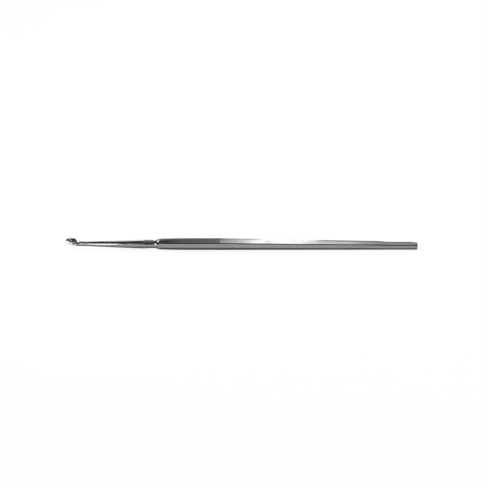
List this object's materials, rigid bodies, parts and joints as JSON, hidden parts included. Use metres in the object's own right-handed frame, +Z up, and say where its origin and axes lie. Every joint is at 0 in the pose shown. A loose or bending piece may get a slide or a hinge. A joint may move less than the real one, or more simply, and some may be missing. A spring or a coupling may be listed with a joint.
{
  "type": "chalazion curette",
  "caption": "One-piece steel eye curette: a tapering eight-sided handle, a turned waist and shank, and a small round scraping cup at the tip.",
  "frame": {"origin": "on the resting surface, under the middle of the length and width", "axes": "+X along the instrument from the cup to the butt, +Z up through the mouth of the cup, and the handle's lowest flat in the plane Z = 0"},
  "size_m": [0.13, 0.0042, 0.0041],
  "materials": {
    "steel": "ground and satin polished stainless steel, bright on the tapered flats"
  },
  "bodies": {
    "root": {"curette": "steel"}
  },
  "joints": []
}
